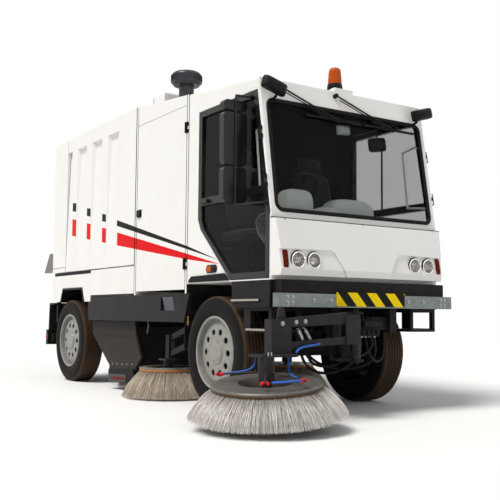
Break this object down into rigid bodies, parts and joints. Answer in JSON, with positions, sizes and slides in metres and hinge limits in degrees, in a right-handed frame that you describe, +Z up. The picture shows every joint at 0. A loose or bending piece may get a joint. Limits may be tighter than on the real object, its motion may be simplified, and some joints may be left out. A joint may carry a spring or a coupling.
{
  "type": "road_sweeper",
  "caption": "Compact road sweeper with a forward cab, tipping waste container, side brushes and a front brush on a parallelogram arm.",
  "frame": {"origin": "floor point under the middle of the front axle", "axes": "+Y to the rear of the vehicle, +X to its left, +Z up"},
  "size_m": [2.7626, 5.8036, 3.0687],
  "materials": {
    "white_paint": "glossy",
    "underbody": "matte",
    "axle_iron": "matte",
    "engine_iron": "matte",
    "window_glass": "glossy",
    "lamp_chrome": "polished",
    "zinc": "satin",
    "hazard_paint": "satin",
    "amber_plastic": "glossy",
    "black_plastic": "matte",
    "intake_steel": "satin",
    "cab_plastic": "matte",
    "seat_fabric": "matte",
    "skirt_paint": "satin",
    "chamber_paint": "matte",
    "lamp_red": "glossy",
    "tyre_rubber": "matte",
    "rim_silver": "satin",
    "door_black": "satin",
    "arm_paint": "satin",
    "hose_rubber": "satin",
    "brush_front": "matte",
    "brush_side": "matte",
    "brush_main": "matte",
    "ram_paint": "satin",
    "ram_chrome": "polished"
  },
  "bodies": {
    "chassis": {"chassis_frame": "underbody", "front_axle": "axle_iron", "rear_axle": "axle_iron", "engine_block": "engine_iron", "cab_shell": "white_paint", "nose_panel": "white_paint", "windscreen": "window_glass", "front_lamps": "lamp_chrome", "front_bumper": "zinc", "hazard_plate": "hazard_paint", "cab_underframe": "underbody", "roof_beacon": "amber_plastic", "work_lamps": "black_plastic", "intake_stack": "intake_steel", "dashboard": "cab_plastic", "seats": "seat_fabric", "engine_module": "white_paint", "lower_panels": "white_paint", "side_skirts": "skirt_paint", "brush_chamber": "chamber_paint", "rear_guards": "underbody", "rear_lamps": "lamp_red"},
    "knuckle_right": {"knuckle_right": "axle_iron"},
    "knuckle_left": {"knuckle_left": "axle_iron"},
    "wheel_front_right": {"tyre_front_right": "tyre_rubber", "rim_front_right": "rim_silver"},
    "wheel_front_left": {"tyre_front_left": "tyre_rubber", "rim_front_left": "rim_silver"},
    "wheel_rear_right": {"tyre_rear_right": "tyre_rubber", "rim_rear_right": "rim_silver"},
    "wheel_rear_left": {"tyre_rear_left": "tyre_rubber", "rim_rear_left": "rim_silver"},
    "steering_wheel": {"steering_wheel": "black_plastic"},
    "cab_door_right": {"cab_door_right": "door_black", "door_glass_right": "window_glass"},
    "cab_door_left": {"cab_door_left": "door_black", "door_glass_left": "window_glass"},
    "service_door_right": {"service_door_right": "white_paint"},
    "service_door_left": {"service_door_left": "white_paint"},
    "container": {"container": "white_paint"},
    "container_door": {"container_door": "white_paint"},
    "tip_ram_barrel": {"tip_ram_barrel": "ram_paint"},
    "tip_ram_rod": {"tip_ram_rod": "ram_chrome"},
    "wiper_right": {"wiper_right": "black_plastic"},
    "wiper_middle": {"wiper_middle": "black_plastic"},
    "arm_carrier": {"arm_carrier": "arm_paint"},
    "arm_beam_upper": {"arm_beam_upper": "arm_paint"},
    "arm_beam_lower": {"arm_beam_lower": "arm_paint"},
    "front_head": {"front_head": "arm_paint", "arm_hoses": "hose_rubber"},
    "front_brush": {"front_brush": "brush_front"},
    "main_brush": {"main_brush": "brush_main"},
    "side_link_upper_right": {"side_link_upper_right": "arm_paint"},
    "side_link_lower_right": {"side_link_lower_right": "arm_paint"},
    "side_head_right": {"side_head_right": "arm_paint"},
    "side_brush_right": {"side_brush_right": "brush_side"},
    "side_link_upper_left": {"side_link_upper_left": "arm_paint"},
    "side_link_lower_left": {"side_link_lower_left": "arm_paint"},
    "side_head_left": {"side_head_left": "arm_paint"},
    "side_brush_left": {"side_brush_left": "brush_side"}
  },
  "joints": [
    {"name": "steer_right", "type": "hinge", "parent": "chassis", "child": "knuckle_right", "pos_m": [-0.6, 0, 0.46], "axis": [0, 0, 1], "range_deg": [-30, 30]},
    {"name": "spin_front_right", "type": "hinge", "parent": "knuckle_right", "child": "wheel_front_right", "pos_m": [-0.721, 0, 0.46], "axis": [1, 0, 0], "continuous": true},
    {"name": "spin_rear_right", "type": "hinge", "parent": "chassis", "child": "wheel_rear_right", "pos_m": [-0.721, 3.255, 0.46], "axis": [1, 0, 0], "continuous": true},
    {"name": "cab_door_right", "type": "hinge", "parent": "chassis", "child": "cab_door_right", "pos_m": [-0.873, -0.73912, 1.96], "axis": [0, 0.1778, 0.9841], "range_deg": [0, 70]},
    {"name": "service_door_right", "type": "hinge", "parent": "chassis", "child": "service_door_right", "pos_m": [-0.873, 0.469, 1.8], "axis": [0, 0, 1], "range_deg": [0, 100]},
    {"name": "side_lift_right", "type": "hinge", "parent": "chassis", "child": "side_link_upper_right", "pos_m": [-0.64, 0.61, 0.69], "axis": [1, 0, 0], "range_deg": [0, 16]},
    {"name": "side_lower_link_right", "type": "hinge", "parent": "chassis", "child": "side_link_lower_right", "pos_m": [-0.64, 0.61, 0.54], "axis": [1, 0, 0], "range_deg": [0, 16]},
    {"name": "side_level_right", "type": "hinge", "parent": "side_link_upper_right", "child": "side_head_right", "pos_m": [-0.64, 1.13, 0.54], "axis": [1, 0, 0], "range_deg": [-16, 0]},
    {"name": "side_brush_spin_right", "type": "hinge", "parent": "side_head_right", "child": "side_brush_right", "pos_m": [-0.68, 1.085, 0.262], "axis": [0, 0, 1], "continuous": true},
    {"name": "steer_left", "type": "hinge", "parent": "chassis", "child": "knuckle_left", "pos_m": [0.6, 0, 0.46], "axis": [0, 0, 1], "range_deg": [-30, 30]},
    {"name": "spin_front_left", "type": "hinge", "parent": "knuckle_left", "child": "wheel_front_left", "pos_m": [0.721, 0, 0.46], "axis": [1, 0, 0], "continuous": true},
    {"name": "spin_rear_left", "type": "hinge", "parent": "chassis", "child": "wheel_rear_left", "pos_m": [0.721, 3.255, 0.46], "axis": [1, 0, 0], "continuous": true},
    {"name": "cab_door_left", "type": "hinge", "parent": "chassis", "child": "cab_door_left", "pos_m": [0.873, -0.73912, 1.96], "axis": [0, -0.1778, -0.9841], "range_deg": [0, 70]},
    {"name": "service_door_left", "type": "hinge", "parent": "chassis", "child": "service_door_left", "pos_m": [0.873, 0.469, 1.8], "axis": [0, 0, -1], "range_deg": [0, 100]},
    {"name": "side_lift_left", "type": "hinge", "parent": "chassis", "child": "side_link_upper_left", "pos_m": [0.64, 0.61, 0.69], "axis": [1, 0, 0], "range_deg": [0, 16]},
    {"name": "side_lower_link_left", "type": "hinge", "parent": "chassis", "child": "side_link_lower_left", "pos_m": [0.64, 0.61, 0.54], "axis": [1, 0, 0], "range_deg": [0, 16]},
    {"name": "side_level_left", "type": "hinge", "parent": "side_link_upper_left", "child": "side_head_left", "pos_m": [0.64, 1.13, 0.54], "axis": [1, 0, 0], "range_deg": [-16, 0]},
    {"name": "side_brush_spin_left", "type": "hinge", "parent": "side_head_left", "child": "side_brush_left", "pos_m": [0.68, 1.085, 0.262], "axis": [0, 0, -1], "continuous": true},
    {"name": "steering_wheel_turn", "type": "hinge", "parent": "chassis", "child": "steering_wheel", "pos_m": [-0.375, -0.47, 1.77], "axis": [0, 0.5299, 0.848], "range_deg": [-360, 360]},
    {"name": "container_tip", "type": "hinge", "parent": "chassis", "child": "container", "pos_m": [0, 3.78, 1.215], "axis": [-1, 0, 0], "range_deg": [0, 50]},
    {"name": "container_door_lift", "type": "hinge", "parent": "container", "child": "container_door", "pos_m": [0, 3.375, 2.819], "axis": [1, 0, 0], "range_deg": [0, 80]},
    {"name": "ram_swing", "type": "hinge", "parent": "chassis", "child": "tip_ram_barrel", "pos_m": [0, 2.985, 0.69], "axis": [1, 0, 0], "range_deg": [0, 5]},
    {"name": "ram_stroke", "type": "slide", "parent": "tip_ram_barrel", "child": "tip_ram_rod", "axis": [0, 0.5255, 0.8508], "range_m": [0, 0.42]},
    {"name": "wiper_sweep_right", "type": "hinge", "parent": "chassis", "child": "wiper_right", "pos_m": [-0.72, -0.66253, 2.545], "axis": [0, 0.9874, -0.1582], "range_deg": [0, 60]},
    {"name": "wiper_sweep_middle", "type": "hinge", "parent": "chassis", "child": "wiper_middle", "pos_m": [-0.12, -0.66253, 2.545], "axis": [0, 0.9874, -0.1582], "range_deg": [0, 60]},
    {"name": "arm_swing", "type": "hinge", "parent": "chassis", "child": "arm_carrier", "pos_m": [-0.27, -1.1, 0.6], "axis": [0, 0, 1], "range_deg": [0, 80]},
    {"name": "arm_lift", "type": "hinge", "parent": "arm_carrier", "child": "arm_beam_upper", "pos_m": [-0.36, -1.1, 0.752], "axis": [0, 1, 0], "range_deg": [0, 14]},
    {"name": "arm_lower_link", "type": "hinge", "parent": "arm_carrier", "child": "arm_beam_lower", "pos_m": [-0.36, -1.1, 0.592], "axis": [0, 1, 0], "range_deg": [0, 14]},
    {"name": "arm_level", "type": "hinge", "parent": "arm_beam_upper", "child": "front_head", "pos_m": [-0.99, -1.1, 0.712], "axis": [0, 1, 0], "range_deg": [-14, 0]},
    {"name": "front_brush_spin", "type": "hinge", "parent": "front_head", "child": "front_brush", "pos_m": [-1.11923, -1.17397, 0.31035], "axis": [-0.0916, -0.0665, 0.9936], "continuous": true},
    {"name": "main_brush_spin", "type": "hinge", "parent": "chassis", "child": "main_brush", "pos_m": [0, 2.11, 0.312], "axis": [1, 0, 0], "continuous": true}
  ],
  "couplings": [
    {"joint": "steer_left", "follows": "steer_right", "ratio": 1},
    {"joint": "steering_wheel_turn", "follows": "steer_right", "ratio": 12},
    {"joint": "ram_swing", "follows": "container_tip", "ratio": 0.06854},
    {"joint": "ram_stroke", "follows": "container_tip", "m_per_rad": 0.4621},
    {"joint": "wiper_sweep_middle", "follows": "wiper_sweep_right", "ratio": 1},
    {"joint": "arm_lower_link", "follows": "arm_lift", "ratio": 1},
    {"joint": "arm_level", "follows": "arm_lift", "ratio": -1},
    {"joint": "side_lower_link_right", "follows": "side_lift_right", "ratio": 1},
    {"joint": "side_level_right", "follows": "side_lift_right", "ratio": -1},
    {"joint": "side_lower_link_left", "follows": "side_lift_left", "ratio": 1},
    {"joint": "side_level_left", "follows": "side_lift_left", "ratio": -1}
  ]
}
